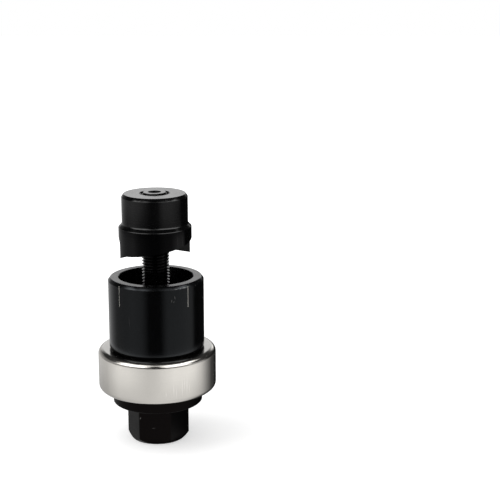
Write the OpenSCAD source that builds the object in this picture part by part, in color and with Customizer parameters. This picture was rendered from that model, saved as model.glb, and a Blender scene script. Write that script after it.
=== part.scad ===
// Knockout punch and die on a ball-bearing draw stud.
// Millimetres. +Z runs up the axis of the stud, and the origin is the centre of the
// bottom face of the hex head, on which the tool stands.

/* [Punch] */
// Diameter of the hole that the punch cuts
hole_d = 25.4; // [24:0.1:30]
// Height of the punch from its spur tips to its top face
punch_h = 22.1; // [18:0.1:30]
// Height of the cutting ring from the spur tips to the shoulder
ring_h = 10.5; // [9:0.1:13]
// Diameter of the boss above the shoulder
boss_d = 23; // [16:0.1:23.4]
// Width of the chamfer round the top face
boss_chamfer_w = 0.8; // [0.2:0.05:1.5]
// Height of the chamfer round the top face
boss_chamfer_h = 1.1; // [0.2:0.05:2]
// Radius in the corner between the boss and its shoulder
boss_root_r = 0.4; // [0.1:0.05:0.8]
// Width of the countersink at the mouth of the threaded hole
mouth_chamfer = 0.5; // [0.1:0.05:1]
// Height of each spur tip below the sheared rim
spur_h = 1.6; // [0.5:0.05:2.5]
// Angle of rim that each spur takes up
spur_angle = 22.5; // [15:7.5:45]
// Rise of each helical ramp from its spur to the next step
shear_rise = 5.85; // [2:0.05:7]
// Power of that climb: 1 is an even helix, and more starts slower
shear_ease = 1.2; // [1:0.05:2]
// Radius that the cutter leaves between a ramp and the step at its end
step_root_r = 2.7; // [0.5:0.1:3.5]
// Slope of the hollow underside, up from the rim to the thread
dish_angle = 13; // [2:0.5:18]

/* [Die] */
// Wall of the die round its bore
die_wall = 3.67; // [2.5:0.01:5]
// Height of the die
die_h = 25.6; // [20:0.1:40]
// Depth of the bore that takes the slug
cup_depth = 17; // [10:0.1:18]
// Width of the chamfer outside the rim
rim_chamfer_w = 0.85; // [0.2:0.05:1.5]
// Height of the chamfer outside the rim
rim_chamfer_h = 1.1; // [0.2:0.05:2]
// Chamfer round the foot of the die
foot_chamfer = 0.8; // [0.2:0.05:2]
// Radius in the corner of the bore's floor
cup_floor_r = 1.2; // [0.2:0.1:3]
// Number of witness lines scribed down the side
witness_count = 4; // [2:1:8]
// Length of a witness line below the rim
witness_length = 8.1; // [3:0.1:15]
// Width of a witness line
witness_w = 0.45; // [0.2:0.05:1]
// Depth of a witness line
witness_depth = 0.2; // [0.1:0.05:0.5]

/* [Bearing] */
// Outside diameter of the band
band_d = 41.5; // [39:0.1:50]
// Height of the band
band_h = 15; // [13:0.1:20]
// Thickness of the band's wall and roof
band_wall = 2; // [1.2:0.1:2.2]
// Thickness of the lip rolled in under the lower race
lip_t = 1.6; // [1:0.1:2]
// Radius of the band's upper edge
band_top_r = 2; // [0.5:0.1:2]
// Radius of the rolled lower edge
band_bottom_r = 2; // [1:0.1:3.5]
// Ball diameter
ball_d = 4.763; // [4:0.001:5.3]
// Number of balls
ball_count = 14; // [8:1:15]
// Diameter of the circle through the ball centres
ball_circle_d = 27; // [26:0.1:28]
// Depth of the ball groove in each race
groove_depth = 0.7; // [0.3:0.05:1]
// Thickness of the ball cage
cage_t = 1.5; // [0.8:0.1:2]
// Metal left outside the cage's pockets
cage_rim = 0.9; // [0.5:0.1:1.5]

/* [Draw stud] */
// Major diameter of the thread
thread_d = 9.525; // [8:0.005:11]
// Length of the shank above the flange
shank_length = 68.4; // [60:0.1:90]
// Width across the flats of the hex head
hex_af = 19.05; // [16:0.01:24]
// Height of the hex head
hex_h = 13.7; // [8:0.1:20]
// Turn of the hex head about the axis
hex_turn = -3.4; // [-30:0.1:30]
// Step from the flats in to the chamfer circle under the head
hex_chamfer_step = 0.12; // [0.05:0.01:0.5]
// Diameter of the flange
flange_d = 31.5; // [27:0.1:34]
// Height of flange that shows between the head and the band
flange_show = 4.8; // [2:0.1:8]
// Chamfer on the end of the shank
shank_chamfer = 0.9; // [0.2:0.05:1.5]
// Diameter of the centre hole's mouth in the end of the shank
centre_d = 4.6; // [2.5:0.1:6]
// Diameter of the centre hole's pilot
pilot_d = 1.6; // [0.8:0.1:2.2]
// Depth of the centre hole
centre_depth = 4.6; // [4:0.1:8]

/* [Setting] */
// Gap between the spur tips and the rim of the die
punch_gap = 7.3; // [1:0.1:12]
// Turn of the punch about the axis
punch_turn = 21.4; // [0:0.1:180]

/* [Clearances] */
// Radial clearance between the punch and the bore of the die
die_clearance = 0.35; // [0.1:0.01:0.6]
// Radial play between the stud and the hole in the punch
thread_play = 0.05; // [0.02:0.01:0.1]
// Radial clearance of the stud in the die, the band and the upper race
stud_clearance = 0.45; // [0.2:0.05:1]
// Play round each ball in its grooves and pocket
ball_play = 0.15; // [0.05:0.01:0.3]
// Radial play of each race on what centres it
race_play = 0.05; // [0.02:0.01:0.1]
// Radial gap between the turning race and the band
band_gap = 0.6; // [0.3:0.05:1]
// Gap between the lip and the turning race above it
lip_gap = 0.4; // [0.2:0.05:0.8]
// Radial gap between the lip and the flange
flange_gap = 0.7; // [0.3:0.05:1.2]
// Break on every other turned edge
edge_break = 0.2; // [0.05:0.05:0.4]

/* [Hidden] */

$fn = 96;
eps = 0.01;
bury = 1;
arc_steps_per_mm = 4;
hex_sides = 6;
hex_chamfer_angle = 45;
centre_angle = 60;
drill_angle = 118;
ramp_step = 7.5;
root_turn_step = 15;
spurs = 2;

black_steel = [0.10, 0.10, 0.11];
bright_steel = [0.80, 0.80, 0.82];
race_steel = [0.62, 0.63, 0.65];
cage_brass = [0.76, 0.62, 0.32];

// Radii
ring_r = hole_d / 2;
boss_r = boss_d / 2;
thread_r = thread_d / 2;
punch_hole_r = thread_r + thread_play;
stud_hole_r = thread_r + stud_clearance;
cup_r = ring_r + die_clearance;
die_r = cup_r + die_wall;
band_r = band_d / 2;
band_inner_r = band_r - band_wall;
flange_r = flange_d / 2;
lip_r = flange_r + flange_gap;
ball_r = ball_d / 2;
ball_circle_r = ball_circle_d / 2;
pocket_r = ball_r + ball_play;
hex_corner_r = hex_af / 2 / cos(180 / hex_sides);
hex_face_r = hex_af / 2 - hex_chamfer_step;

// Heights along the axis
band_z = hex_h + flange_show;
flange_top_z = band_z + lip_t + lip_gap;
band_top_z = band_z + band_h;
roof_z = band_top_z - band_wall;
race_gap = ball_d - 2 * groove_depth + 2 * ball_play;
race_t = (roof_z - flange_top_z - race_gap) / 2;
ball_z = flange_top_z + race_t + race_gap / 2;
die_top_z = band_top_z + die_h;
punch_z = die_top_z + punch_gap;
shank_top_z = flange_top_z + shank_length;

// Ramps of the cutting rim, unrolled round the ring
ramp_span = 360 / spurs;
ramp_slope = atan(shear_ease * shear_rise / rim_length(ramp_span - spur_angle));
root_centre = rim_length(ramp_span) - step_root_r;
root_z = ramp_height(rim_angle(root_centre)) - step_root_r / cos(ramp_slope);

// Points of an arc of radius r that rounds the corner b between a and c
function corner_arc(a, b, c, r) =
    let (
        to_a = (a - b) / norm(a - b),
        to_c = (c - b) / norm(c - b),
        half = acos(to_a * to_c) / 2,
        middle = (to_a + to_c) / norm(to_a + to_c),
        centre = b + middle * r / sin(half),
        first = b + to_a * r / tan(half) - centre,
        last = b + to_c * r / tan(half) - centre,
        start = atan2(first.y, first.x),
        raw = atan2(last.y, last.x) - start,
        sweep = raw > 180 ? raw - 360 : raw < -180 ? raw + 360 : raw,
        steps = max(1, round(r * arc_steps_per_mm))
    )
    [for (i = [0:steps])
        let (angle = start + sweep * i / steps)
        centre + r * [cos(angle), sin(angle)]];

function flat_point(corner) = [corner.x, corner.y];

// Outline of a half section from corners given as [radius, height, corner radius]
function outline(corners) =
    let (count = len(corners))
    [for (i = [0:count - 1])
        each corners[i].z == 0
            ? [flat_point(corners[i])]
            : corner_arc(
                flat_point(corners[(i + count - 1) % count]),
                flat_point(corners[i]),
                flat_point(corners[(i + 1) % count]),
                corners[i].z)];

module turned(corners) {
    rotate_extrude() polygon(outline(corners));
}

// Length along the cutting rim of an angle behind a spur tip, and the other way
function rim_length(angle) = ring_r * angle * PI / 180;
function rim_angle(length) = length / ring_r * 180 / PI;

// Height of a helical ramp above the spur tips, at an angle behind its tip
function ramp_height(angle) =
    angle < spur_angle
        ? spur_h * angle / spur_angle
        : spur_h + shear_rise * pow((angle - spur_angle) / (ramp_span - spur_angle), shear_ease);

// Height of the cutting rim there: the ramp, then the cutter's radius down to the step
function rim_height(angle) =
    let (past = rim_length(angle) - root_centre)
    past < -step_root_r * sin(ramp_slope)
        ? ramp_height(angle)
        : root_z + sqrt(max(0, step_root_r ^ 2 - past ^ 2));

// Metal ground away under half of the rim: a ramp behind one spur, ending in a radial step
module shear_ramp() {
    outer_r = ring_r + 1;
    inner_r = thread_r / 2;
    root_angle = rim_angle(root_centre);
    angles = concat(
        [for (angle = [0:ramp_step:root_angle - 1]) angle],
        [for (turn = [0:root_turn_step:90]) rim_angle(root_centre + step_root_r * sin(turn))]
    );
    last = 4 * (len(angles) - 1);
    points = [
        for (angle = angles)
            let (direction = [cos(angle), sin(angle)])
            for (corner = [[inner_r, 0], [outer_r, 0], [outer_r, 1], [inner_r, 1]])
                let (under = rim_height(angle) + (ring_r - corner[0]) * tan(dish_angle))
                [corner[0] * direction.x, corner[0] * direction.y, corner[1] == 0 ? -1 : under]
    ];
    sides = [
        for (i = [0:4:last - 4], side = [0:3])
            let (next = (side + 1) % 4)
            each [
                [i + side, i + next, i + 4 + next],
                [i + side, i + 4 + next, i + 4 + side]
            ]
    ];
    ends = [[3, 2, 1, 0], [last, last + 1, last + 2, last + 3]];
    polyhedron(points, concat(sides, ends));
}

module punch() {
    shoulder_z = ring_h + ring_r - boss_r;
    color(black_steel) translate([0, 0, punch_z]) difference() {
        turned([
            [punch_hole_r, 0, 0],
            [ring_r, 0, 0],
            [ring_r, ring_h, edge_break],
            [boss_r, shoulder_z, boss_root_r],
            [boss_r, punch_h - boss_chamfer_h, edge_break],
            [boss_r - boss_chamfer_w, punch_h, edge_break],
            [punch_hole_r + mouth_chamfer, punch_h, 0],
            [punch_hole_r, punch_h - mouth_chamfer, 0]
        ]);
        for (i = [0:spurs - 1]) rotate(punch_turn + i * 360 / spurs) shear_ramp();
    }
}

module die() {
    floor_z = die_top_z - cup_depth;
    color(black_steel) difference() {
        turned([
            [stud_hole_r, band_top_z + edge_break, 0],
            [stud_hole_r + edge_break, band_top_z, 0],
            [die_r - foot_chamfer, band_top_z, edge_break],
            [die_r, band_top_z + foot_chamfer, edge_break],
            [die_r, die_top_z - rim_chamfer_h, edge_break],
            [die_r - rim_chamfer_w, die_top_z, edge_break],
            [cup_r + edge_break, die_top_z, 0],
            [cup_r, die_top_z - edge_break, 0],
            [cup_r, floor_z, cup_floor_r],
            [stud_hole_r + edge_break, floor_z, 0],
            [stud_hole_r, floor_z - edge_break, 0]
        ]);
        for (i = [0:witness_count - 1])
            rotate((i + 0.5) * 360 / witness_count)
                translate([die_r - witness_depth, -witness_w / 2, die_top_z - witness_length])
                    cube([die_wall, witness_w, witness_length - rim_chamfer_h / 2]);
    }
}

// Band of the bearing: flat roof under the die, lip rolled in below the lower race
module bearing_shell() {
    color(bright_steel) turned([
        [stud_hole_r, roof_z, 0],
        [band_inner_r, roof_z, 0],
        [band_inner_r, band_z + lip_t, 0],
        [lip_r, band_z + lip_t, 0],
        [lip_r, band_z, 0],
        [band_r, band_z, band_bottom_r],
        [band_r, band_top_z, band_top_r],
        [stud_hole_r, band_top_z, 0]
    ]);
}

module upper_race() {
    color(race_steel) race_ring(stud_hole_r, band_inner_r - race_play, roof_z - race_t);
}

module lower_race() {
    color(race_steel) race_ring(thread_r + race_play, band_inner_r - band_gap, flange_top_z);
}

// Flat ring with the ball groove cut by the balls' own path
module race_ring(inner_r, outer_r, base_z) {
    rotate_extrude() difference() {
        translate([inner_r, base_z]) square([outer_r - inner_r, race_t]);
        translate([ball_circle_r, ball_z]) circle(pocket_r);
    }
}

module at_ball(i) {
    rotate((i - 1) * 360 / ball_count) translate([ball_circle_r, 0, ball_z]) children();
}

module ball(i) {
    color(bright_steel) at_ball(i) sphere(ball_r);
}

module ball_cage() {
    half_width = pocket_r + cage_rim;
    color(cage_brass) difference() {
        rotate_extrude()
            translate([ball_circle_r - half_width, ball_z - cage_t / 2]) square([2 * half_width, cage_t]);
        for (i = [1:ball_count]) at_ball(i) cylinder(h = cage_t + 2 * eps, r = pocket_r, center = true);
    }
}

// Forged head and flange with the shank, in one piece
module draw_stud() {
    cone_depth = (centre_d - pilot_d) / 2 / tan(centre_angle / 2);
    pilot_tip = pilot_d / 2 / tan(drill_angle / 2);
    corner_rise = (hex_corner_r - hex_face_r) * tan(hex_chamfer_angle);
    color(black_steel) union() {
        rotate(hex_turn) intersection() {
            cylinder(h = hex_h + bury, r = hex_corner_r, $fn = hex_sides);
            turned([
                [0, 0, 0],
                [hex_face_r, 0, 0],
                [hex_corner_r + bury, corner_rise + bury * tan(hex_chamfer_angle), 0],
                [hex_corner_r + bury, hex_h + bury, 0],
                [0, hex_h + bury, 0]
            ]);
        }
        turned([
            [0, hex_h, 0],
            [flange_r, hex_h, edge_break],
            [flange_r, flange_top_z, edge_break],
            [thread_r, flange_top_z, 0],
            [thread_r, shank_top_z - shank_chamfer, 0],
            [thread_r - shank_chamfer, shank_top_z, 0],
            [centre_d / 2, shank_top_z, 0],
            [pilot_d / 2, shank_top_z - cone_depth, 0],
            [pilot_d / 2, shank_top_z - centre_depth + pilot_tip, 0],
            [0, shank_top_z - centre_depth, 0]
        ]);
    }
}

punch();
die();
bearing_shell();
upper_race();
ball_cage();
lower_race();
draw_stud();
for (i = [1:ball_count]) ball(i);
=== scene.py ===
# %% [markdown]
# A knockout punch cuts a round hole in sheet steel. A punch with a sheared rim is drawn into a
# cup-shaped die by a threaded stud, and a ball bearing under the die lets the stud turn easily.
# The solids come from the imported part, which is loaded here as a fixed frame. Each visible piece
# is then built again as a smooth mesh in the same place, because a mesh made for Blender has clean
# rings of faces that take soft edges and reflections better than loose triangles do.

import math

import bmesh
import bpy
from mathutils import Matrix, Vector


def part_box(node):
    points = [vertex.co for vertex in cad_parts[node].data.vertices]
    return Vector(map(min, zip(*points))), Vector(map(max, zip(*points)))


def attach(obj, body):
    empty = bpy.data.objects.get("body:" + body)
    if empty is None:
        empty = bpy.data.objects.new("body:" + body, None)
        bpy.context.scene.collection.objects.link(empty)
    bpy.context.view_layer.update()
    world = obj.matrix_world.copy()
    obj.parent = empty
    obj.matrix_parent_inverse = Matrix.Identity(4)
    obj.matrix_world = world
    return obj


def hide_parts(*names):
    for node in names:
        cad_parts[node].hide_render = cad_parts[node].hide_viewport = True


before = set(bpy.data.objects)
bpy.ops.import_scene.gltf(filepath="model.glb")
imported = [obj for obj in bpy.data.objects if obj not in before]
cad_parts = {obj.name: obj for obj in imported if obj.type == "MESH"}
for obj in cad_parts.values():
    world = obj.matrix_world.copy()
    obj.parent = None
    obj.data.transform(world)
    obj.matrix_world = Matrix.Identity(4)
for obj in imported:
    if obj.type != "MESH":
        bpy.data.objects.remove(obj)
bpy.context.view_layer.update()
MM = 0.001

# %% [markdown]
# Nearly every piece of this tool was turned on a lathe about one axis, so its size is a radius and
# two heights. They could be typed in again, but reading them from the frame keeps the looks on
# the solids if the part is ever resized. The frame is in metres, and these values are in
# millimetres, as on a workshop drawing.


# %% Read radii and heights from the frame
def turned_size(node):
    """Outer radius, lowest and highest height of a CAD node, in millimetres."""
    low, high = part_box(node)
    widest = max(high.x, high.y, -low.x, -low.y)
    return round(widest / MM, 2), round(low.z / MM, 2), round(high.z / MM, 2)


ring_r, tip_z, punch_top_z = turned_size("punch")
die_r, die_z, die_top_z = turned_size("die")
band_r, band_z, band_top_z = turned_size("bearing_shell")
flange_r, foot_z, shank_top_z = turned_size("draw_stud")
edge_break = 0.2
thread_r = 4.7625
stud_hole_r = thread_r + 0.45
print("punch", ring_r, tip_z, punch_top_z, "die", die_r, die_z, die_top_z)
print("band", band_r, band_z, band_top_z, "stud", flange_r, foot_z, shank_top_z)

# %% [markdown]
# A turned piece starts as half of its section, drawn as a few vertices joined by edges. The spin
# operator sweeps that section round the axis, exactly as a lathe does. A Screw modifier could
# do it too, but spin leaves a plain mesh whose rings can be bevelled one by one afterwards.


# %% Helpers for turned pieces
STEPS = 240
NEAR = 0.004


def draw_section(bm, rows, closed=True):
    """Joins (radius, height) rows, in millimetres, into a chain of edges in the XZ plane."""
    corners = [bm.verts.new((radius * MM, 0, height * MM)) for radius, height in rows]
    ends = corners[1:] + corners[:1] if closed else corners[1:]
    for one, two in zip(corners, ends):
        bm.edges.new((one, two))


def turn_section(rows, start=0.0):
    """A closed section spun once round the axis, with its first column at an angle in degrees."""
    bm = bmesh.new()
    draw_section(bm, rows)
    rotation = Matrix.Rotation(math.radians(start), 3, "Z")
    bmesh.ops.rotate(bm, cent=(0, 0, 0), matrix=rotation, verts=bm.verts)
    bmesh.ops.spin(
        bm, geom=bm.verts[:] + bm.edges[:], cent=(0, 0, 0), axis=(0, 0, 1),
        angle=math.tau, steps=STEPS, use_merge=True,
    )
    bmesh.ops.recalc_face_normals(bm, faces=bm.faces)
    return bm


def radius_of(vert):
    return math.hypot(vert.co.x, vert.co.y) / MM


def set_radius(vert, radius):
    """Moves a vertex straight out from the axis, or in, to a radius in millimetres."""
    scale = radius / radius_of(vert)
    vert.co.x *= scale
    vert.co.y *= scale


def on_ring(vert, radius, height):
    return abs(radius_of(vert) - radius) < NEAR and abs(vert.co.z / MM - height) < NEAR


def round_ring(bm, radius, height, width, segments=3):
    """Bevels the ring of edges at a radius and height, in millimetres."""
    edges = [
        edge for edge in bm.edges
        if all(on_ring(vert, radius, height) for vert in edge.verts)
    ]
    bmesh.ops.bevel(
        bm, geom=edges, offset=width * MM, offset_type="OFFSET", affect="EDGES",
        segments=segments, profile=0.5, material=-1,
    )
    return len(edges)


SHARP_ANGLE = 32


def new_piece(name, bm, body, slot, *nodes):
    """Makes a bmesh a smooth-shaded object that rides a body in place of CAD nodes."""
    mesh = bpy.data.meshes.new(name)
    bm.to_mesh(mesh)
    bm.free()
    mesh.shade_smooth()
    mesh.set_sharp_from_angle(angle=math.radians(SHARP_ANGLE))
    piece = bpy.data.objects.new(name, mesh)
    bpy.context.scene.collection.objects.link(piece)
    weighted = piece.modifiers.new("face weighted normals", "WEIGHTED_NORMAL")
    weighted.keep_sharp = True
    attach(piece, body)
    if nodes:
        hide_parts(*nodes)
    print(name, "rides", body, "with", len(mesh.polygons), "faces")
    return piece


print("sections are spun in", STEPS, "steps of", 360 / STEPS, "degrees")

# %% [markdown]
# The punch is the cutter. Its boss is plain, its ring is the size of the hole, and the underside
# is milled into two ramps, so that two spur tips enter the sheet first and the cut then runs
# round like a pair of scissors. The ramps could be drawn by hand, but a formula gives their height
# at any angle: a short steep spur, a long helix, and the cutter's radius down to the next step.

# %% Height of the sheared rim
spur_h = 1.6
spur_angle = 22.5
shear_rise = 5.85
shear_ease = 1.2
step_root_r = 2.7
ramp_span = 180
dish_slope = math.tan(math.radians(13))
punch_turn = 21.4


def rim_length(angle):
    return ring_r * math.radians(angle)


def ramp_height(angle):
    """Height of a helical ramp above the spur tips, at degrees behind its tip."""
    if angle < spur_angle:
        return spur_h * angle / spur_angle
    climb = (angle - spur_angle) / (ramp_span - spur_angle)
    return spur_h + shear_rise * climb ** shear_ease


ramp_slope = math.atan(shear_ease * shear_rise / rim_length(ramp_span - spur_angle))
root_centre = rim_length(ramp_span) - step_root_r
root_z = ramp_height(math.degrees(root_centre / ring_r)) - step_root_r / math.cos(ramp_slope)


def rim_height(angle):
    """Height of the rim there: the ramp, then the cutter's radius down to the step."""
    past = rim_length(angle) - root_centre
    if past < -step_root_r * math.sin(ramp_slope):
        return ramp_height(angle)
    return root_z + math.sqrt(max(0, step_root_r ** 2 - past ** 2))


step_h = rim_height(ramp_span)
print("step at the end of a ramp", round(step_h, 2), "mm high, ramp slope", round(ramp_slope, 3))

# %% [markdown]
# Both halves of the punch are alike, so only half a turn is spun, with its rim still level with the
# tips. The vertices of the underside are then lifted by the height of the ramp at each angle. A
# boolean cut could make the ramps too, but it leaves thin triangles along the cutting edge.

# %% Spin half of the punch
punch_hole_r = thread_r + 0.05
boss_r = 11.5
boss_face_r = boss_r - 0.8
boss_edge_z = punch_top_z - 1.1
ring_top_z = tip_z + 10.5
shoulder_z = ring_top_z + ring_r - boss_r
mouth_chamfer = 0.5
dish_z = tip_z + (ring_r - punch_hole_r) * dish_slope

punch_bm = bmesh.new()
draw_section(punch_bm, [
    (punch_hole_r, dish_z),
    (ring_r, tip_z),
    (ring_r, ring_top_z),
    (boss_r, shoulder_z),
    (boss_r, boss_edge_z),
    (boss_face_r, punch_top_z),
    (punch_hole_r + mouth_chamfer, punch_top_z),
    (punch_hole_r, punch_top_z - mouth_chamfer),
])
bmesh.ops.spin(
    punch_bm, geom=punch_bm.verts[:] + punch_bm.edges[:], cent=(0, 0, 0), axis=(0, 0, 1),
    angle=math.pi, steps=STEPS // 2,
)
under_verts = [
    vert for vert in punch_bm.verts
    if on_ring(vert, ring_r, tip_z) or on_ring(vert, punch_hole_r, dish_z)
]
for vert in under_verts:
    behind_tip = math.degrees(math.atan2(vert.co.y, vert.co.x)) % 360
    behind_tip = 0.0 if behind_tip > 359 else min(behind_tip, 180)
    vert.co.z += rim_height(behind_tip) * MM
print("lifted", len(under_verts), "vertices of the rim")

# %% [markdown]
# Where one ramp ends, the next spur begins, and the ground step between them is a flat radial
# face. The wall above a spur gets one more vertex at the height of that step, so that the copied
# half meets it vertex to vertex. Merging then leaves two four-sided holes, which are filled.

# %% Join both halves of the punch
start_edges = [
    edge for edge in punch_bm.edges
    if all(abs(vert.co.y) < NEAR * MM and vert.co.x > 0 for vert in edge.verts)
]
for radius, low in ((ring_r, tip_z), (punch_hole_r, dish_z)):
    for edge in start_edges:
        foot = [vert for vert in edge.verts if on_ring(vert, radius, low)]
        upright = all(abs(radius_of(vert) - radius) < NEAR for vert in edge.verts)
        if foot and upright:
            part = step_h * MM / edge.calc_length()
            bmesh.utils.edge_split(edge, foot[0], part)
copied = bmesh.ops.duplicate(punch_bm, geom=punch_bm.verts[:] + punch_bm.edges[:] + punch_bm.faces[:])
copied_verts = [item for item in copied["geom"] if isinstance(item, bmesh.types.BMVert)]
half_turn = Matrix.Rotation(math.pi, 3, "Z")
bmesh.ops.rotate(punch_bm, cent=(0, 0, 0), matrix=half_turn, verts=copied_verts)
bmesh.ops.remove_doubles(punch_bm, verts=punch_bm.verts, dist=NEAR * MM)
open_edges = [edge for edge in punch_bm.edges if edge.is_boundary]
bmesh.ops.holes_fill(punch_bm, edges=open_edges, sides=4)
bmesh.ops.recalc_face_normals(punch_bm, faces=punch_bm.faces)
still_open = sum(edge.is_boundary for edge in punch_bm.edges)
print("filled the steps between", len(open_edges), "edges,", still_open, "left open")

# %% [markdown]
# No turned edge of a tool is quite sharp, and the narrow round on it catches a thin line of light.
# Each ring gets a bevel with a width of its own. A Bevel modifier would treat all edges alike and
# would blunt the cutting edge too. The wall of the ring is marked for a darker finish.

# %% Soften the punch's turned edges
for radius, height, width in (
    (ring_r, ring_top_z, 0.15),
    (boss_r, shoulder_z, 0.35),
    (boss_r, boss_edge_z, 0.05),
    (boss_face_r, punch_top_z, 0.12),
    (punch_hole_r + mouth_chamfer, punch_top_z, 0.1),
):
    round_ring(punch_bm, radius, height, width)
turn = Matrix.Rotation(math.radians(punch_turn), 3, "Z")
bmesh.ops.rotate(punch_bm, cent=(0, 0, 0), matrix=turn, verts=punch_bm.verts)
RING_MATERIAL = 1
for face in punch_bm.faces:
    if all(abs(radius_of(vert) - ring_r) < NEAR for vert in face.verts):
        face.material_index = RING_MATERIAL
punch = new_piece("punch_cutter", punch_bm, "punch", "black_oxide", "punch")

# %% [markdown]
# The die is a cup that the punch pushes the slug into. It has a plain bore, a floor with a hole for
# the stud, and chamfers at its rim and foot. Cylinders could be cut from one another, but one spun
# section has even columns of faces all round, and the witness lines need such columns.

# %% Spin the die
cup_r = ring_r + 0.35
floor_z = die_top_z - 17
rim_chamfer_w = 0.85
rim_chamfer_h = 1.1
foot_chamfer = 0.8
foot_round = 0.2
rim_edge_z = die_top_z - rim_chamfer_h
line_foot_z = die_top_z - 8.1
line_depth = 0.2
line_r = die_r - line_depth
line_top_z = rim_edge_z + line_depth * rim_chamfer_h / rim_chamfer_w
half_step = 180 / STEPS

die_bm = turn_section([
    (stud_hole_r, die_z),
    (die_r - foot_chamfer, die_z),
    (die_r, die_z + foot_chamfer),
    (die_r, line_foot_z),
    (die_r, rim_edge_z),
    (line_r, line_top_z),
    (die_r - rim_chamfer_w, die_top_z),
    (cup_r + edge_break, die_top_z),
    (cup_r, die_top_z - edge_break),
    (cup_r, floor_z),
    (stud_hole_r, floor_z),
], start=half_step)
round_ring(die_bm, die_r - rim_chamfer_w, die_top_z, 0.25)
round_ring(die_bm, die_r, die_z + foot_chamfer, foot_round)
round_ring(die_bm, cup_r, floor_z, 1.2, segments=5)
print("die wall", round(die_r - cup_r, 2), "mm, cup", round(die_top_z - floor_z, 1), "mm deep")

# %% [markdown]
# The flat rim and the chamfer at the foot came from other cuts than the wall, and they shine less.
# Faces are told apart by their heights, and each kind gets the number of a material slot. A mask in
# one material could do it too, but slots keep every finish short.

# %% Mark the rim and the foot of the die
RIM_MATERIAL = 1
FOOT_MATERIAL = 2
foot_top_z = die_z + foot_chamfer + foot_round

for face in die_bm.faces:
    heights = [vert.co.z / MM for vert in face.verts]
    if min(heights) > die_top_z - NEAR:
        face.material_index = RIM_MATERIAL
    if max(heights) < foot_top_z + NEAR:
        face.material_index = FOOT_MATERIAL
for name, slot_number in (("rim", RIM_MATERIAL), ("foot", FOOT_MATERIAL)):
    print(name, "has", sum(face.material_index == slot_number for face in die_bm.faces), "faces")

# %% [markdown]
# Four witness lines are scribed down the die's side, to set it over pencil marks on the sheet. Thin
# boxes could be cut out for them, but here one column of wall faces is pushed in at each line,
# which leaves crisp grooves and no odd triangles.

# %% Push in the witness lines
LINE_MATERIAL = 3
line_angles = (45, 135, 225, 315)


def beside_line(face):
    """True for a wall face in the column of a witness line."""
    middle = face.calc_center_median()
    if not line_foot_z < middle.z / MM < line_top_z:
        return False
    if math.hypot(middle.x, middle.y) / MM < line_r - NEAR:
        return False
    angle = math.degrees(math.atan2(middle.y, middle.x)) % 360
    return any(abs(angle - line) < half_step / 2 for line in line_angles)


line_faces = [face for face in die_bm.faces if beside_line(face)]
pushed = bmesh.ops.extrude_face_region(die_bm, geom=line_faces)["geom"]
bmesh.ops.delete(die_bm, geom=line_faces, context="FACES")
for item in pushed:
    if isinstance(item, bmesh.types.BMVert):
        set_radius(item, line_r)
    if isinstance(item, bmesh.types.BMFace):
        item.material_index = LINE_MATERIAL
bmesh.ops.remove_doubles(die_bm, verts=die_bm.verts, dist=NEAR * MM)
bmesh.ops.recalc_face_normals(die_bm, faces=die_bm.faces)
die_open = sum(edge.is_boundary for edge in die_bm.edges)
print("pushed in", len(line_faces), "faces,", die_open, "edges open")
die = new_piece("die_cup", die_bm, "die", "black_oxide", "die")

# %% [markdown]
# The bright band is the outer shell of the thrust bearing, pressed from steel sheet. Its roof
# carries the die, and its lower edge is rolled in under the race. The two rounded edges matter
# most, because a polished edge draws a thin bright line round the whole band.

# %% Spin the bearing band
band_wall = 2
lip_t = 1.6
lip_r = flange_r + 0.7
roof_z = band_top_z - band_wall
band_inner_r = band_r - band_wall

band_bm = turn_section([
    (stud_hole_r, roof_z),
    (band_inner_r, roof_z),
    (band_inner_r, band_z + lip_t),
    (lip_r, band_z + lip_t),
    (lip_r, band_z),
    (band_r, band_z),
    (band_r, band_top_z),
    (stud_hole_r, band_top_z),
])
round_ring(band_bm, band_r, band_top_z, 2, segments=8)
round_ring(band_bm, band_r, band_z, 2, segments=8)
round_ring(band_bm, lip_r, band_z, 0.3)
band = new_piece("bearing_band", band_bm, "die", "bright_band", "bearing_shell")

# %% [markdown]
# Under the roof sit two grooved races, with a ring of balls between them. They don't show
# while the tool stands together, but a reader who takes the band off should find them. Each race
# is a flat washer whose ball groove is part of its section, and the balls are spheres.

# %% Races and balls
upper_r, upper_z, upper_top_z = turned_size("upper_race")
lower_r, lower_z, lower_top_z = turned_size("lower_race")
ball_low, ball_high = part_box("ball_1")
ball_r = (ball_high.z - ball_low.z) / 2 / MM
ball_z = (ball_high.z + ball_low.z) / 2 / MM
ball_circle_r = 13.5
groove_r = ball_r + 0.15
ARC = 12


def groove_rows(face_z):
    """The ball groove in a race's face, from the axis outwards."""
    half = math.sqrt(groove_r ** 2 - (face_z - ball_z) ** 2)
    side = 1 if face_z > ball_z else -1
    rows = []
    for i in range(ARC + 1):
        out = -half + 2 * half * i / ARC
        rows.append((ball_circle_r + out, ball_z + side * math.sqrt(groove_r ** 2 - out ** 2)))
    return rows


upper_race_bm = turn_section(
    [(upper_r, upper_z), (upper_r, upper_top_z), (stud_hole_r, upper_top_z), (stud_hole_r, upper_z)]
    + groove_rows(upper_z)
)
upper_race = new_piece("upper_race_ring", upper_race_bm, "die", "race_steel", "upper_race")
lower_race_bm = turn_section(
    [(lower_r, lower_top_z), (lower_r, lower_z), (punch_hole_r, lower_z), (punch_hole_r, lower_top_z)]
    + groove_rows(lower_top_z)
)
lower_race = new_piece("lower_race_ring", lower_race_bm, "stud", "race_steel", "lower_race")

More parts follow.
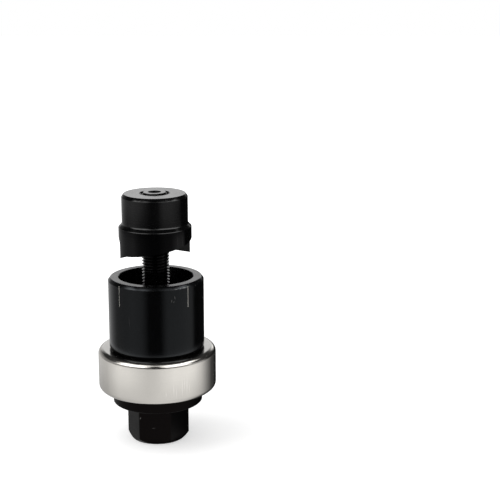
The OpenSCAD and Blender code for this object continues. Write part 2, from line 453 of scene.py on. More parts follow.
ball_nodes = sorted(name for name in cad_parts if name.startswith("ball_") and name != "ball_cage")
balls = []
for name in ball_nodes:
    low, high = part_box(name)
    ball_bm = bmesh.new()
    place = Matrix.Translation((low + high) / 2)
    bmesh.ops.create_uvsphere(ball_bm, u_segments=32, v_segments=20, radius=ball_r * MM, matrix=place)
    balls.append(new_piece(name + "_sphere", ball_bm, "cage", "ball_steel", name))
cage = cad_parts["ball_cage"]
print(len(balls), "balls on a circle of radius", ball_circle_r, "mm")

# %% [markdown]
# The draw stud is forged in one piece: a hex for the wrench, a round flange that carries the
# bearing, and the shank. The head changes from a circle to a hexagon and back, so it grows as
# one ring of edges extruded again and again. Each new ring gets a radius for every angle.

# %% Grow the head of the draw stud
HEAD_SEGMENTS = 192
hex_flat_r = 9.525
hex_corner_r = hex_flat_r / math.cos(math.radians(30))
corner_wear = 0.08
hex_face_r = hex_flat_r - 0.12
hex_h = 13.7
hex_turn = -3.4
flange_top_z = band_z + lip_t + 0.4
shank_join_z = 39.2


def hex_radius(angle):
    """Radius of the hexagon at an angle in degrees, with its corners slightly worn."""
    off_flat = (angle - hex_turn) % 60 - 30
    sharp = hex_flat_r / math.cos(math.radians(off_flat))
    return min(sharp, hex_corner_r - corner_wear)


def next_ring(bm, ring, radius_at, height_at):
    """Extrudes a ring of edges and moves it to a radius and height for each angle."""
    grown = bmesh.ops.extrude_edge_only(bm, edges=ring)["geom"]
    for vert in (item for item in grown if isinstance(item, bmesh.types.BMVert)):
        angle = math.degrees(math.atan2(vert.co.y, vert.co.x))
        set_radius(vert, radius_at(angle))
        vert.co.z = height_at(angle) * MM
    return [item for item in grown if isinstance(item, bmesh.types.BMEdge)]


def at(value):
    return lambda angle: value


def hex_edge_z(angle):
    """Height at which the chamfer cone under the head runs out on the hexagon."""
    return foot_z + hex_radius(angle) - hex_face_r


head_bm = bmesh.new()
start_turn = Matrix.Rotation(math.radians(hex_turn), 4, "Z")
bmesh.ops.create_circle(
    head_bm, cap_ends=False, segments=HEAD_SEGMENTS, radius=hex_face_r * MM, matrix=start_turn,
)
first_ring = head_bm.edges[:]
ring = next_ring(head_bm, first_ring, hex_radius, hex_edge_z)
for radius_at, height in (
    (hex_radius, hex_h),
    (at(flange_r - edge_break), hex_h),
    (at(flange_r), hex_h + edge_break),
    (at(flange_r), flange_top_z - edge_break),
    (at(flange_r - edge_break), flange_top_z),
    (at(thread_r), flange_top_z),
    (at(thread_r), shank_join_z),
):
    ring = next_ring(head_bm, ring, radius_at, at(height))
bmesh.ops.edgeloop_fill(head_bm, edges=first_ring)
bmesh.ops.edgeloop_fill(head_bm, edges=ring)
bmesh.ops.recalc_face_normals(head_bm, faces=head_bm.faces)
stud_head = new_piece("stud_head", head_bm, "stud", "black_oxide", "draw_stud")

# %% [markdown]
# The shank carries a fine right-hand thread. A bump texture would do from afar, but the crests
# show as teeth against the white gap under the punch, so the thread is real here. One pitch of
# its profile is spun round and lifted at every step, and each turn is merged with the next.

# %% Spin the thread
pitch = 25.4 / 24
thread_depth = 0.7 * pitch
root_r = thread_r - thread_depth
THREAD_STEPS = 48
thread_low_z = shank_join_z - 0.4
turns = math.ceil((shank_top_z - thread_low_z) / pitch) + 3

thread_bm = bmesh.new()
thread_start_z = thread_low_z - 1.646 * pitch
draw_section(thread_bm, [
    (root_r, thread_start_z),
    (root_r, thread_start_z + pitch * 0.12),
    (thread_r, thread_start_z + pitch * 0.535),
    (thread_r, thread_start_z + pitch * 0.585),
    (root_r, thread_start_z + pitch),
], closed=False)
bmesh.ops.spin(
    thread_bm, geom=thread_bm.verts[:] + thread_bm.edges[:], cent=(0, 0, 0), axis=(0, 0, 1),
    dvec=(0, 0, pitch / THREAD_STEPS * MM), angle=math.tau * turns, steps=THREAD_STEPS * turns,
)
bmesh.ops.remove_doubles(thread_bm, verts=thread_bm.verts, dist=NEAR * MM)
print("thread of", turns, "turns has", len(thread_bm.faces), "faces")

# %% [markdown]
# The stud was held between centres while its thread was cut, so its end has a chamfer and a drilled
# centre. Crests beyond the chamfer's cone are drawn in to it, two planes cut the thread to length,
# and the centre grows inwards from the cut edge. Booleans on a thread are slow and often fail. The
# centre is marked for a dull finish, because a drill leaves it rougher than the thread.

# %% Cut the thread to length and centre-drill its end
CENTRE_MATERIAL = 1
shank_chamfer = 0.9
centre_r = 2.3
pilot_r = 0.8
cone_depth = (centre_r - pilot_r) / math.tan(math.radians(30))
centre_depth = 4.6

for vert in thread_bm.verts:
    below_end = shank_top_z - vert.co.z / MM
    limit = thread_r - shank_chamfer + max(below_end, 0)
    if radius_of(vert) > limit:
        set_radius(vert, limit)
everything = thread_bm.verts[:] + thread_bm.edges[:] + thread_bm.faces[:]
bmesh.ops.bisect_plane(
    thread_bm, geom=everything, dist=1e-7, plane_co=(0, 0, shank_top_z * MM),
    plane_no=(0, 0, 1), clear_outer=True,
)
everything = thread_bm.verts[:] + thread_bm.edges[:] + thread_bm.faces[:]
bmesh.ops.bisect_plane(
    thread_bm, geom=everything, dist=1e-7, plane_co=(0, 0, thread_low_z * MM),
    plane_no=(0, 0, 1), clear_inner=True,
)
ends = [edge for edge in thread_bm.edges if edge.is_boundary]
middle_z = (thread_low_z + shank_top_z) / 2
top_loop = [edge for edge in ends if edge.verts[0].co.z / MM > middle_z]
low_loop = [edge for edge in ends if edge.verts[0].co.z / MM < middle_z]
ring = top_loop
for radius, depth in (
    (centre_r, 0),
    (pilot_r, cone_depth),
    (pilot_r, centre_depth),
):
    ring = next_ring(thread_bm, ring, at(radius), at(shank_top_z - depth))
bmesh.ops.edgeloop_fill(thread_bm, edges=ring)
bmesh.ops.edgeloop_fill(thread_bm, edges=low_loop)
bmesh.ops.recalc_face_normals(thread_bm, faces=thread_bm.faces)
for face in thread_bm.faces:
    if all(radius_of(vert) < centre_r + NEAR for vert in face.verts):
        face.material_index = CENTRE_MATERIAL
print("thread ends left open:", sum(edge.is_boundary for edge in thread_bm.edges))
stud_thread = new_piece("stud_thread", thread_bm, "stud", "black_oxide")

# %% [markdown]
# The finishes are node materials that read Object coordinates, so they need no image and fit any
# size. Nodes could be placed by hand in the editor, but a script can be read and run again. A few
# helpers add a node, link its sockets and set its plain values.


# %% Node helpers
def add_node(tree, kind, **settings):
    node = tree.nodes.new(kind)
    for name, value in settings.items():
        setattr(node, name, value)
    return node


def feed(tree, socket, value):
    """Links a socket to another, or sets its plain value."""
    if isinstance(value, bpy.types.NodeSocket):
        tree.links.new(value, socket)
    else:
        socket.default_value = value


def calc(tree, operation, first, second=None, third=None):
    node = add_node(tree, "ShaderNodeMath", operation=operation)
    for socket, value in zip(node.inputs, (first, second, third)):
        if value is not None:
            feed(tree, socket, value)
    return node.outputs[0]


def ramp(tree, value, low, high, to_low=0.0, to_high=1.0):
    """A smooth step of a value from one range to another."""
    node = add_node(tree, "ShaderNodeMapRange", interpolation_type="SMOOTHSTEP")
    for socket, number in zip(node.inputs, (value, low, high, to_low, to_high)):
        feed(tree, socket, number)
    return node.outputs[0]


def mix_colour(tree, factor, one, two):
    node = add_node(tree, "ShaderNodeMix", data_type="RGBA")
    feed(tree, node.inputs[0], factor)
    feed(tree, node.inputs[6], one)
    feed(tree, node.inputs[7], two)
    return node.outputs[2]


def new_group(name, inputs, outputs):
    """An empty shader group with float sockets: its tree, and its input and output nodes."""
    group = bpy.data.node_groups.new(name, "ShaderNodeTree")
    for socket_name, value in inputs.items():
        socket = group.interface.new_socket(socket_name, in_out="INPUT", socket_type="NodeSocketFloat")
        socket.default_value = value
    for socket_name in outputs:
        group.interface.new_socket(socket_name, in_out="OUTPUT", socket_type="NodeSocketFloat")
    return group, group.nodes.new("NodeGroupInput"), group.nodes.new("NodeGroupOutput")


def use_group(tree, group, **values):
    """Places a group in a tree. Names of values stand for inputs of the same words."""
    node = add_node(tree, "ShaderNodeGroup", node_tree=group)
    for name, value in values.items():
        feed(tree, node.inputs[name.replace("_", " ").capitalize()], value)
    return node


print("node helpers ready")

# %% [markdown]
# Effects that several finishes share are node groups. The first one turns a point into workshop
# terms: its distance from the axis, its height and its angle round the axis. Later groups then
# speak of rings and walls, as a turner would, and not of X, Y and Z.

# %% Group: place on the lathe
lathe_place, _, place_out = new_group("lathe place", {}, ("Radius", "Height", "Turn"))
point = add_node(lathe_place, "ShaderNodeTexCoord").outputs["Object"]
axes = add_node(lathe_place, "ShaderNodeSeparateXYZ")
lathe_place.links.new(point, axes.inputs[0])
x_mm, y_mm, z_mm = (calc(lathe_place, "DIVIDE", axes.outputs[i], MM) for i in range(3))
squares = calc(lathe_place, "ADD", calc(lathe_place, "MULTIPLY", x_mm, x_mm),
               calc(lathe_place, "MULTIPLY", y_mm, y_mm))
feed(lathe_place, place_out.inputs["Radius"], calc(lathe_place, "SQRT", squares))
feed(lathe_place, place_out.inputs["Height"], z_mm)
feed(lathe_place, place_out.inputs["Turn"], calc(lathe_place, "ARCTAN2", y_mm, x_mm))
print("lathe place has", len(lathe_place.nodes), "nodes")

# %% [markdown]
# A lathe tool leaves fine rings, on walls and on faces alike. They are noise along one line only:
# radius plus height, so that a ring on a wall or a face has one value all the way round.

# %% Group: turning marks
turning_marks, marks_in, marks_out = new_group(
    "turning marks", {"Rings per mm": 3.0}, ("Height", "Streaks"))
where = use_group(turning_marks, lathe_place)
along = calc(turning_marks, "ADD", where.outputs["Radius"], where.outputs["Height"])
rings = add_node(turning_marks, "ShaderNodeTexNoise", noise_dimensions="1D")
feed(turning_marks, rings.inputs["W"], along)
feed(turning_marks, rings.inputs["Scale"], marks_in.outputs["Rings per mm"])
rings.inputs["Detail"].default_value = 3
feed(turning_marks, marks_out.inputs["Height"], rings.outputs[0])
cloud = add_node(turning_marks, "ShaderNodeTexNoise")
cloud_point = add_node(turning_marks, "ShaderNodeTexCoord").outputs["Object"]
feed(turning_marks, cloud.inputs["Vector"], cloud_point)
cloud.inputs["Scale"].default_value = 140
cloud.inputs["Detail"].default_value = 4
streaks = calc(turning_marks, "MULTIPLY", rings.outputs[0], cloud.outputs[0])
feed(turning_marks, marks_out.inputs["Streaks"], calc(turning_marks, "MULTIPLY", streaks, 2.0))
print("turning marks has", len(turning_marks.nodes), "nodes")

# %% [markdown]
# Black oxide is only a micron thick, so handling wears it off the edges first and bare steel
# glints through. Each worn edge here is a ring with a radius and a height. The mask fades with
# the distance from that ring, and noise breaks it up so that no edge is worn evenly.

# %% Group: worn ring
worn_ring, worn_in, worn_out = new_group(
    "worn ring", {"Radius": 10.0, "Height": 0.0, "Width": 0.3, "Cover": 0.5}, ("Mask",))
where = use_group(worn_ring, lathe_place)
off_r = calc(worn_ring, "SUBTRACT", where.outputs["Radius"], worn_in.outputs["Radius"])
off_z = calc(worn_ring, "SUBTRACT", where.outputs["Height"], worn_in.outputs["Height"])
squares = calc(worn_ring, "ADD", calc(worn_ring, "MULTIPLY", off_r, off_r),
               calc(worn_ring, "MULTIPLY", off_z, off_z))
away = calc(worn_ring, "DIVIDE", calc(worn_ring, "SQRT", squares), worn_in.outputs["Width"])
near_edge = ramp(worn_ring, away, 1.0, 0.0)
patches = add_node(worn_ring, "ShaderNodeTexNoise")
patch_point = add_node(worn_ring, "ShaderNodeTexCoord").outputs["Object"]
feed(worn_ring, patches.inputs["Vector"], patch_point)
patches.inputs["Scale"].default_value = 420
patches.inputs["Detail"].default_value = 5
patches.inputs["Roughness"].default_value = 0.65
bare_from = calc(worn_ring, "SUBTRACT", 1.0, worn_in.outputs["Cover"])
bare = ramp(worn_ring, patches.outputs[0], bare_from, calc(worn_ring, "ADD", bare_from, 0.14))
feed(worn_ring, worn_out.inputs["Mask"], calc(worn_ring, "MULTIPLY", near_edge, bare))
print("worn ring has", len(worn_ring.nodes), "nodes")

# %% [markdown]
# Handling also leaves hair-fine scratches. They run mostly along the axis, where tools rub past
# each other in a drawer, so the noise is squeezed round the axis and stretched along it.

# %% Group: fine scratches
fine_scratches, scratch_in, scratch_out = new_group(
    "fine scratches", {"Around": 60.0, "Along": 0.06, "Cover": 0.3}, ("Mask",))
where = use_group(fine_scratches, lathe_place)
grain = add_node(fine_scratches, "ShaderNodeCombineXYZ")
turns_round = calc(fine_scratches, "MULTIPLY", where.outputs["Turn"], scratch_in.outputs["Around"])
slant = calc(fine_scratches, "MULTIPLY", where.outputs["Height"], 0.35)
feed(fine_scratches, grain.inputs[0], calc(fine_scratches, "ADD", turns_round, slant))
feed(fine_scratches, grain.inputs[1],
     calc(fine_scratches, "MULTIPLY", where.outputs["Height"], scratch_in.outputs["Along"]))
feed(fine_scratches, grain.inputs[2],
     calc(fine_scratches, "MULTIPLY", where.outputs["Radius"], 0.4))
hairs = add_node(fine_scratches, "ShaderNodeTexNoise")
feed(fine_scratches, hairs.inputs["Vector"], grain.outputs[0])
hairs.inputs["Scale"].default_value = 1.0
hairs.inputs["Detail"].default_value = 2
hair_from = calc(fine_scratches, "SUBTRACT", 1.0, scratch_in.outputs["Cover"])
feed(fine_scratches, scratch_out.inputs["Mask"],
     ramp(fine_scratches, hairs.outputs[0], hair_from, calc(fine_scratches, "ADD", hair_from, 0.05)))
print("fine scratches has", len(fine_scratches.nodes), "nodes")

# %% [markdown]
# A few single marks can be seen in the photo: short bright nicks where the tool was knocked. Each
# one is a thin stroke with a place, a length, a width and a slant, laid out on the unrolled wall.

# %% Group: nick
nick, nick_in, nick_out = new_group(
    "nick", {"Turn": 0.0, "Height": 0.0, "Radius": 10.0, "Long": 2.0, "Wide": 0.2, "Slant": 0.0}, ("Mask",))
where = use_group(nick, lathe_place)
turned = calc(nick, "SUBTRACT", where.outputs["Turn"], nick_in.outputs["Turn"])
off_round = calc(nick, "MULTIPLY", turned, nick_in.outputs["Radius"])
off_up = calc(nick, "SUBTRACT", where.outputs["Height"], nick_in.outputs["Height"])
slant_cos = calc(nick, "COSINE", nick_in.outputs["Slant"])
slant_sin = calc(nick, "SINE", nick_in.outputs["Slant"])
along = calc(nick, "ABSOLUTE", calc(nick, "MULTIPLY_ADD", off_up, slant_cos,
                                    calc(nick, "MULTIPLY", off_round, slant_sin)))
across = calc(nick, "ABSOLUTE", calc(nick, "SUBTRACT", calc(nick, "MULTIPLY", off_round, slant_cos),
                                     calc(nick, "MULTIPLY", off_up, slant_sin)))
half_long = calc(nick, "MULTIPLY", nick_in.outputs["Long"], 0.5)
half_wide = calc(nick, "MULTIPLY", nick_in.outputs["Wide"], 0.5)
feed(nick, nick_out.inputs["Mask"],
     calc(nick, "MULTIPLY", ramp(nick, along, half_long, 0.0), ramp(nick, across, half_wide, 0.0)))


def nick_mask(tree, radius, rows):
    """All nicks of a wall, from rows of degrees right of the front, height, long, wide, slant."""
    mask = 0.0
    for aside, height, long, wide, slant in rows:
        mark = use_group(tree, nick, turn=math.radians(aside - 90), height=height, radius=radius,
                         long=long, wide=wide, slant=math.radians(slant))
        mask = calc(tree, "MAXIMUM", mark.outputs["Mask"], mask)
    return mask


print("nick has", len(nick.nodes), "nodes")

# %% [markdown]
# Black-oxide steel is a thin dark skin with oil in it: almost no colour of its own, and a smooth
# sheen that grows at grazing angles. It is kept dielectric, with a rather high index of
# refraction, and turns to bare metal only where the wear masks say so.

# %% Finish: black oxide
OXIDE = (0.0012, 0.0012, 0.0014, 1)
BARE_STEEL = (0.36, 0.35, 0.34, 1)


def new_material(name):
    material = bpy.data.materials.new(name)
    material.use_nodes = True
    tree = material.node_tree
    return material, tree, tree.nodes["Principled BSDF"]


def add_bump(tree, shader, height, distance, strength=1.0):
    bump = add_node(tree, "ShaderNodeBump")
    bump.inputs["Strength"].default_value = strength
    bump.inputs["Distance"].default_value = distance * MM
    feed(tree, bump.inputs["Height"], height)
    feed(tree, shader.inputs["Normal"], bump.outputs[0])


def black_oxide(name, worn, rings_per_mm=3.0, smooth=0.13, gloss=0.5, tint=(1, 1, 1, 1), nicks=(10, ())):
    """Oxide finish with bare rings at (radius, height, width, cover) rows in millimetres."""
    material, tree, shader = new_material(name)
    marks = use_group(tree, turning_marks, rings_per_mm=rings_per_mm)
    mask = use_group(tree, fine_scratches, cover=0.24).outputs["Mask"]
    mask = calc(tree, "MULTIPLY", mask, 0.3)
    mask = calc(tree, "MAXIMUM", mask, calc(tree, "MULTIPLY", nick_mask(tree, *nicks), 0.45))
    for radius, height, width, cover in worn:
        edge = use_group(tree, worn_ring, radius=radius, height=height, width=width, cover=cover)
        mask = calc(tree, "MAXIMUM", mask, edge.outputs["Mask"])
    feed(tree, shader.inputs["Base Color"], mix_colour(tree, mask, OXIDE, BARE_STEEL))
    feed(tree, shader.inputs["Metallic"], mask)
    rough = ramp(tree, marks.outputs["Streaks"], 0.2, 0.8, smooth, smooth + 0.07)
    feed(tree, shader.inputs["Roughness"], rough)
    shader.inputs["IOR"].default_value = 1.5
    shader.inputs["Specular IOR Level"].default_value = gloss
    shader.inputs["Specular Tint"].default_value = tint
    add_bump(tree, shader, marks.outputs["Height"], 0.0006)
    return material


print("bare steel shows through the oxide at a grey of", BARE_STEEL[0])

# %% [markdown]
# Each piece came out of the oxide bath with its own sheen, because the steel below was turned,
# ground or forged. One material could be shared, but the worn edges differ, so every piece calls the
# function above with its own rings, nicks, smoothness and gloss.

# %% Black oxide on each piece
stud_end_r = 4.2
hex_wall_r = 10.5

punch_oxide = black_oxide("black oxide of the punch", [
    (ring_r - 0.1, ring_top_z, 0.3, 0.42),
    (boss_r, boss_edge_z, 0.25, 0.38),
    (boss_face_r, punch_top_z, 0.3, 0.42),
    (ring_r, tip_z, 0.5, 0.5),
])
ring_oxide = black_oxide("black oxide of the cutting ring", [
    (ring_r - 0.1, ring_top_z, 0.3, 0.42),
    (ring_r, tip_z, 0.5, 0.5),
], smooth=0.1, gloss=0.2)
die_oxide = black_oxide("black oxide of the die", [
    (die_r - rim_chamfer_w, die_top_z, 0.3, 0.3),
    (die_r, rim_edge_z, 0.3, 0.38),
    (cup_r + edge_break / 2, die_top_z, 0.25, 0.3),
], tint=(0.93, 1, 1.05, 1), nicks=(die_r, (
    (22.5, 54.2, 1.3, 0.3, 10), (26.5, 55.2, 1.6, 0.3, -12), (25, 53.8, 0.9, 0.3, 55),
    (28, 58.1, 1.4, 0.4, 90), (34, 58.1, 0.7, 0.4, 80), (39.5, 58.2, 2.0, 0.4, 92),
)))
rim_oxide = black_oxide("black oxide of the die's rim", [
    (die_r - rim_chamfer_w, die_top_z, 0.3, 0.34),
    (cup_r + edge_break, die_top_z, 0.25, 0.34),
], smooth=0.2, gloss=0.38)
dull_oxide = black_oxide("dull black oxide", [], smooth=0.3, gloss=0.06)
head_oxide = black_oxide("black oxide of the stud head", [
    (flange_r, hex_h, 0.3, 0.36),
    (hex_corner_r, hex_h, 0.3, 0.36),
    (hex_face_r, foot_z, 0.4, 0.42),
], rings_per_mm=1.2, smooth=0.3, gloss=0.055, tint=(1.2, 0.97, 0.9, 1), nicks=(hex_wall_r, (
    (-31.5, 9.6, 1.1, 0.45, 20), (-6, 6.0, 1.8, 0.16, 80),
)))
thread_oxide = black_oxide("black oxide of the thread", [
    (stud_end_r, shank_top_z, 0.5, 0.42),
], rings_per_mm=5, smooth=0.12, gloss=0.4)
punch.data.materials.append(punch_oxide)
punch.data.materials.append(ring_oxide)
die.data.materials.append(die_oxide)
die.data.materials.append(rim_oxide)
die.data.materials.append(dull_oxide)
stud_head.data.materials.append(head_oxide)
stud_thread.data.materials.append(thread_oxide)
stud_thread.data.materials.append(dull_oxide)
print("seven black-oxide finishes")

# %% [markdown]
# The witness lines were scribed through the oxide, so their floor is bare steel that has dulled a
# little. It is a material of its own on the faces that were pushed in, because a mask would need
# their exact edges again.

# %% Finish: scribed lines
scribed_steel, tree, shader = new_material("scribed bare steel")
marks = use_group(tree, turning_marks, rings_per_mm=6)
dull = ramp(tree, marks.outputs["Streaks"], 0.2, 0.8)
feed(tree, shader.inputs["Base Color"],
     mix_colour(tree, dull, (0.56, 0.54, 0.50, 1), (0.66, 0.64, 0.59, 1)))
shader.inputs["Metallic"].default_value = 0.2
feed(tree, shader.inputs["Roughness"], ramp(tree, marks.outputs["Streaks"], 0.2, 0.8, 0.6, 0.4))
die.data.materials.append(scribed_steel)
print("scribed lines use slot", LINE_MATERIAL)

# %% [markdown]
# The band is bare steel polished on a lathe, so it has a satin reflection with fine rings in it
# and a few upright rub marks. Its rounded edges matter most, because they mirror the whole room.
# Its flat roof is painted a darker grey: painted shade from the die that stands on it.

# %% Finish: polished band
polished_steel, tree, shader = new_material("polished band steel")
marks = use_group(tree, turning_marks, rings_per_mm=5)
shade = ramp(tree, marks.outputs["Streaks"], 0.1, 0.9)
steel = mix_colour(tree, shade, (0.655, 0.63, 0.59, 1), (0.695, 0.67, 0.625, 1))
height = use_group(tree, lathe_place).outputs["Height"]
# Painted shade: the flat roof under the die is mixed to a darker grey by its height.
roof = ramp(tree, height, band_top_z - 0.25, band_top_z - 0.05)
steel = mix_colour(tree, roof, steel, (0.46, 0.45, 0.43, 1))
rubs = nick_mask(tree, band_r, (
    (19.5, 23.6, 6, 0.35, 0), (22, 22.6, 5, 0.3, 0), (28, 24.0, 8, 0.4, 0), (30.5, 25.2, 6, 0.3, 0),
    (33, 24.4, 8, 0.45, 0), (35.5, 23.6, 5, 0.3, 0), (12, 22.4, 3, 0.3, 0),
    (-38, 30.4, 0.7, 0.5, 30), (-33, 30.8, 0.9, 0.45, 70), (-30, 30.1, 0.6, 0.5, 0),
))
rubs = calc(tree, "MULTIPLY", rubs, 0.5)
feed(tree, shader.inputs["Base Color"], mix_colour(tree, rubs, steel, (0.86, 0.84, 0.8, 1)))
shader.inputs["Metallic"].default_value = 1
satin = ramp(tree, marks.outputs["Streaks"], 0.1, 0.9, 0.16, 0.22)
feed(tree, shader.inputs["Roughness"], calc(tree, "MULTIPLY_ADD", rubs, 0.2, satin))
add_bump(tree, shader, marks.outputs["Height"], 0.0002)
band.data.materials.append(polished_steel)
print("polished band finish")

# %% [markdown]
# Inside the bearing the races and balls are hardened and ground, and the cage is brass. The same
# groups serve them, with other colours and finer marks.


# %% Finish: inside the bearing
def inner_metal(name, dark, light, low_rough, high_rough, rings_per_mm):
    material, tree, shader = new_material(name)
    marks = use_group(tree, turning_marks, rings_per_mm=rings_per_mm)
    blend = ramp(tree, marks.outputs["Streaks"], 0.1, 0.9)
    feed(tree, shader.inputs["Base Color"], mix_colour(tree, blend, dark, light))
    shader.inputs["Metallic"].default_value = 1
    feed(tree, shader.inputs["Roughness"],
         ramp(tree, marks.outputs["Streaks"], 0.1, 0.9, low_rough, high_rough))
    return material


race_steel = inner_metal("ground race steel", (0.42, 0.42, 0.43, 1), (0.56, 0.56, 0.57, 1), 0.22, 0.34, 4)
ball_steel = inner_metal("ball steel", (0.62, 0.62, 0.63, 1), (0.70, 0.70, 0.71, 1), 0.06, 0.14, 1)
cage_brass = inner_metal("cage brass", (0.55, 0.38, 0.14, 1), (0.72, 0.53, 0.24, 1), 0.25, 0.4, 3)
for piece in (upper_race, lower_race):
    piece.data.materials.append(race_steel)
for piece in balls:
    piece.data.materials.append(ball_steel)
for material_slot in cage.material_slots:
    material_slot.material = cage_brass
print("cage has", len(cage.material_slots), "material slots")

# %% [markdown]
# The tool stands on a white sweep of paper. The floor is a pale diffuse plane that keeps the soft
# shadow, with a little plain light added for the camera alone, so that it runs into the white
# background without an edge. A brighter lamp could do that too, but it would wash out the tool.


# %% Floor
def stage_piece(name, bm, material):
    """A bmesh that belongs to the studio, not to the tool."""
    mesh = bpy.data.meshes.new(name)
    bm.to_mesh(mesh)
    bm.free()
    piece = bpy.data.objects.new(name, mesh)
    bpy.context.scene.collection.objects.link(piece)
    mesh.materials.append(material)
    return piece


floor_white, tree, shader = new_material("pale floor")
shader.inputs["Base Color"].default_value = (0.8, 0.8, 0.8, 1)
shader.inputs["Roughness"].default_value = 1
shader.inputs["Specular IOR Level"].default_value = 0
shader.inputs["Emission Color"].default_value = (1, 1, 1, 1)
seen = add_node(tree, "ShaderNodeLightPath").outputs["Is Camera Ray"]
away = add_node(tree, "ShaderNodeVectorMath", operation="LENGTH")
tree.links.new(add_node(tree, "ShaderNodeTexCoord").outputs["Object"], away.inputs[0])
# The light painted for the camera grows from 0.46 within 0.1 m of the tool to 1 beyond 0.4 m, so the floor
# is darker near the tool.
lift = ramp(tree, away.outputs["Value"], 0.1, 0.4, 0.46, 1.0)
feed(tree, shader.inputs["Emission Strength"], calc(tree, "MULTIPLY", seen, lift))
floor_bm = bmesh.new()
floor_place = Matrix.Translation((0, 0, -0.1 * MM))
bmesh.ops.create_grid(floor_bm, x_segments=1, y_segments=1, size=2, matrix=floor_place)
floor = stage_piece("floor", floor_bm, floor_white)
floor.visible_glossy = False
print("floor lies", round(-floor_place.translation.z / MM, 2), "mm below the tool")

# %% [markdown]
# Polished metal has hardly any look of its own: it shows what stands round it. A photographer bends
# white cards round such a tool, and the shade between them draws its form. Here those shades are
# rows of degrees right of the camera and a grey level, which a colour ramp blends from one to the next.


# %% Grey levels round the tool
def level_ring(tree, across, ahead, rows):
    """Grey levels round the tool, at degrees right of the camera."""
    from_front = calc(tree, "ARCTAN2", across, calc(tree, "MULTIPLY", ahead, -1.0))
    node = add_node(tree, "ShaderNodeValToRGB")
    feed(tree, node.inputs[0], calc(tree, "MULTIPLY_ADD", from_front, 1 / math.tau, 0.5))
    while len(node.color_ramp.elements) < len(rows):
        node.color_ramp.elements.new(0.5)
    for element, (azimuth, level) in zip(node.color_ramp.elements, rows):
        element.position = azimuth / 360 + 0.5
        element.color = (level, level, level, 1)
    return node.outputs[0]


print("levels start and end behind the tool, at 180 degrees")

# %% [markdown]
# A bent card is a short section spun part of the way round the tool. Area lamps could stand there
# instead, but they would also light the floor. The card glows by itself and only mirror rays meet
# it, so it throws no light or shadow and the camera looks straight through it.


# %% Bent card
CARD_STEPS = 48


def glossy_card(name, section, from_azimuth, to_azimuth, tables, blend=(0, 1)):
    """A bent card that only polished metal sees, its levels blended from the low table to the high."""
    bm = bmesh.new()
    draw_section(bm, section, closed=False)
    rotation = Matrix.Rotation(math.radians(from_azimuth - 90), 3, "Z")
    bmesh.ops.rotate(bm, cent=(0, 0, 0), matrix=rotation, verts=bm.verts)
    bmesh.ops.spin(
        bm, geom=bm.verts[:] + bm.edges[:], cent=(0, 0, 0), axis=(0, 0, 1),
        angle=math.radians(to_azimuth - from_azimuth), steps=CARD_STEPS,
    )
    material, tree, shader = new_material(name)
    shader.inputs["Base Color"].default_value = (0, 0, 0, 1)
    shader.inputs["Specular IOR Level"].default_value = 0
    axes = add_node(tree, "ShaderNodeSeparateXYZ")
    tree.links.new(add_node(tree, "ShaderNodeTexCoord").outputs["Object"], axes.inputs[0])
    x, y, z = axes.outputs[:3]
    low, high = (level_ring(tree, x, y, rows) for rows in tables)
    higher = ramp(tree, z, blend[0] * MM, blend[1] * MM)
    feed(tree, shader.inputs["Emission Color"], mix_colour(tree, higher, low, high))
    shader.inputs["Emission Strength"].default_value = 1
    card = stage_piece(name, bm, material)
    card.visible_camera = False
    card.visible_diffuse = False
    card.visible_shadow = False
    print(name, "goes from", to_azimuth, "to", from_azimuth, "degrees")
    return card


# %% [markdown]
# The first card lies on the floor and stands up close round the bearing, because the band mirrors
# little else. A flat grey would make the band look like paper, so the levels change from side to side
# and fall off to the right. The upper half of the card is mostly the brighter one.

# %% Card round the band
CARD_LOW = (
    (-142, 0.5), (-76, 0.48), (-63, 0.58), (-50, 0.68), (-35, 0.68), (-18, 0.76), (0, 0.8),
    (13, 0.82), (25, 0.82), (46, 0.78), (67, 0.55), (81, 0.25), (95, 0.05),
)
CARD_HIGH = (
    (-142, 0.62), (-76, 0.66), (-63, 0.84), (-50, 1.03), (-35, 1.02), (-18, 0.85), (-8, 0.75),
    (0, 0.79), (13, 0.95), (25, 1.1), (46, 1.13), (56, 1.04), (67, 0.8), (81, 0.33), (95, 0.05),
)
near_section = [(11.5, -0.05), (30, -0.05), (30, 30.2)]
glossy_card("near card", near_section, 108, -142, (CARD_LOW, CARD_HIGH), blend=(12, 28))

# %% [markdown]
# Two low cards further off draw the long soft highlights on the punch: one for its cutting ring and
# one for its boss. They could be one card, but the ring is nearly black where the boss still shines,
# so each has levels of its own.

# %% Cards for the punch
RING_LEVELS = (
    (-142, 0.4), (-92, 0.4), (-66, 0.6), (-44, 0.17), (-24, 0.06), (-5, 0.01), (14, 0.01), (33, 0.1),
    (53, 0.17), (75, 0.75), (96, 0.55), (108, 0.01),
)
BOSS_FOOT = (
    (-142, 0.4), (-103, 0.04), (-73, 0.12), (-49, 0.01), (-6, 0.0), (15, 0.0), (36, 0.1), (58, 0.1),
    (82, 0.04), (104, 0.0),
)
BOSS_TOP = (
    (-142, 0.4), (-103, 0.36), (-73, 0.6), (-49, 0.5), (-27, 0.18), (-6, 0.06), (15, 0.1), (36, 0.5),
    (58, 0.5), (82, 0.16), (104, 0.0),
)
far_r = 130
glossy_card("ring card", [(far_r, 36), (far_r, 48.5)], 108, -142, (RING_LEVELS, RING_LEVELS))
glossy_card("boss card", [(far_r, 48.5), (far_r, 64)], 108, -142, (BOSS_FOOT, BOSS_TOP), blend=(50, 62))

# %% [markdown]
# A bright card high up is what the rounded edges mirror, because they face upwards. It could go all
# the way round, but here it spans the front half alone, so that the edges fall off into shade at
# the sides. It is darker where the camera stands, and it fades out so that its ends draw no line. A
# narrow dim card on top of it reaches the chamfer of the die, which faces higher than the rest.

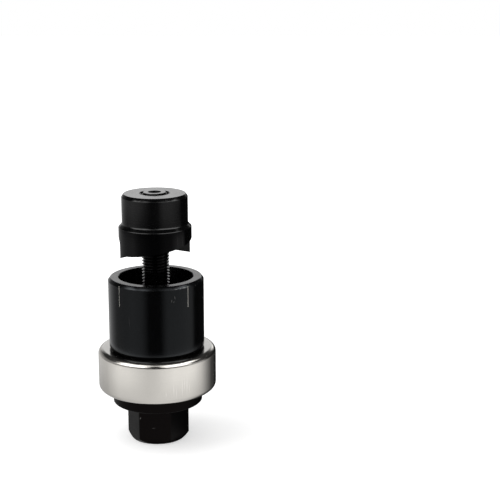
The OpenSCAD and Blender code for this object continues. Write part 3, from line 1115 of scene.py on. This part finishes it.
# %% Cards for the upper edges
HIGH_FOOT = (
    (-88, 0.0), (-74, 2.4), (-27, 2.4), (-16, 0.0), (9, 0.0), (25, 2.4), (88, 2.4), (102, 0.0),
)
HIGH_TOP = (
    (-88, 0.0), (-74, 2.4), (-20, 2.4), (-6, 1.2), (6, 1.2), (20, 2.4), (88, 2.4), (102, 0.0),
)
ROOF_LEVELS = (
    (-56, 0.0), (-46, 1.0), (-36, 1.4), (-26, 1.0), (-17, 0.4), (-8, 0.05), (14, 0.0), (27, 0.3),
    (36, 0.5), (46, 0.5), (56, 0.0),
)
high_section = [(far_r, 118), (far_r, 205)]
glossy_card("high card", high_section, 102, -88, (HIGH_FOOT, HIGH_TOP), blend=(140, 160))
glossy_card("roof card", [(far_r, 205), (far_r, 262)], 56, -56, (ROOF_LEVELS, ROOF_LEVELS))

# %% [markdown]
# Everything beyond the cards is the world. The camera sees plain white there, diffuse rays get plain
# light, and mirror rays see soft boxes over a dim floor. One even white world would be simpler, but
# then polished steel and black oxide would both look flat.

# %% Surroundings
PLAIN_LIGHT = (0.72, 0.72, 0.72, 1)
OVERHEAD = (0.03, 0.03, 0.03, 1)
NEAR_FLOOR = (
    (-180, 0.5), (-150, 0.6), (-130, 0.45), (-108, 0.2), (-78, 0.24), (-55, 0.32), (-32, 0.28),
    (-14, 0.01), (14, 0.01), (30, 0.3), (86, 0.34), (98, 0.3), (108, 0.01), (180, 0.01),
)
SOFT_BOXES = (
    (-180, 1.3), (-168, 1.3), (-150, 0.15), (-90, 0.15), (-74, 2.4), (-24, 2.4), (-9, 0.02),
    (9, 0.02), (24, 2.4), (66, 2.4), (80, 0.03), (150, 0.03), (165, 1.3), (180, 1.3),
)
BOX_TOPS = ((-180, 0.3), (-85, 0.3), (-66, 0.7), (66, 0.7), (85, 0.3), (180, 0.3))
world = bpy.data.worlds.new("white studio")
bpy.context.scene.world = world
world.use_nodes = True
tree = world.node_tree
background = tree.nodes["Background"]
direction = add_node(tree, "ShaderNodeSeparateXYZ")
tree.links.new(add_node(tree, "ShaderNodeTexCoord").outputs["Generated"], direction.inputs[0])
across, ahead, up = direction.outputs[:3]
low_level = level_ring(tree, across, ahead, NEAR_FLOOR)
high_level = level_ring(tree, across, ahead, SOFT_BOXES)
mirrored = mix_colour(tree, ramp(tree, up, 0.06, 0.2), low_level, high_level)
over_box = calc(tree, "SUBTRACT", up, level_ring(tree, across, ahead, BOX_TOPS))
mirrored = mix_colour(tree, ramp(tree, over_box, 0.0, 0.12), mirrored, OVERHEAD)
rays = add_node(tree, "ShaderNodeLightPath")
mirror_ray = calc(tree, "MAXIMUM", rays.outputs["Is Glossy Ray"], rays.outputs["Is Transmission Ray"])
lit = mix_colour(tree, mirror_ray, PLAIN_LIGHT, mirrored)
feed(tree, background.inputs["Color"],
     mix_colour(tree, rays.outputs["Is Camera Ray"], lit, (1, 1, 1, 1)))
world.cycles.sampling_method = "NONE"
print("surround has", len(NEAR_FLOOR) + len(SOFT_BOXES), "levels")

# %% [markdown]
# One large soft lamp stands high on the left, so the shadow is faint and falls to the right. It
# is an area lamp, because a small lamp would draw hard edges that a light tent doesn't.

# %% Lamp
key_data = bpy.data.lights.new("soft lamp", "AREA")
key_data.shape = "SQUARE"
key_data.size = 0.8
key_data.energy = 4.0
key = bpy.data.objects.new("soft lamp", key_data)
key.location = (-0.55, -0.1, 0.85)
key.rotation_euler = (Vector((0, 0, 0.04)) - key.location).to_track_quat("-Z", "Y").to_euler()
bpy.context.scene.collection.objects.link(key)
key.visible_glossy = False
print("lamp at", [round(value, 2) for value in key.location])

# %% [markdown]
# The camera stands where the photographer stood. Its place and lens were worked out from the
# ellipses of the turned rims, whose flattening tells how far the camera looks down.

# %% Camera
LOOK_DOWN = 13.585
camera_data = bpy.data.cameras.new("camera")
camera_data.lens = 91.31
camera_data.sensor_width = 36
camera = bpy.data.objects.new("camera", camera_data)
camera.location = (0.0329, -0.4288, 0.1719)
camera.rotation_euler = (math.radians(90 - LOOK_DOWN), 0, 0)
bpy.context.scene.collection.objects.link(camera)
bpy.context.scene.camera = camera
bpy.context.scene.view_settings.view_transform = "Standard"
print("camera looks down", LOOK_DOWN, "degrees")
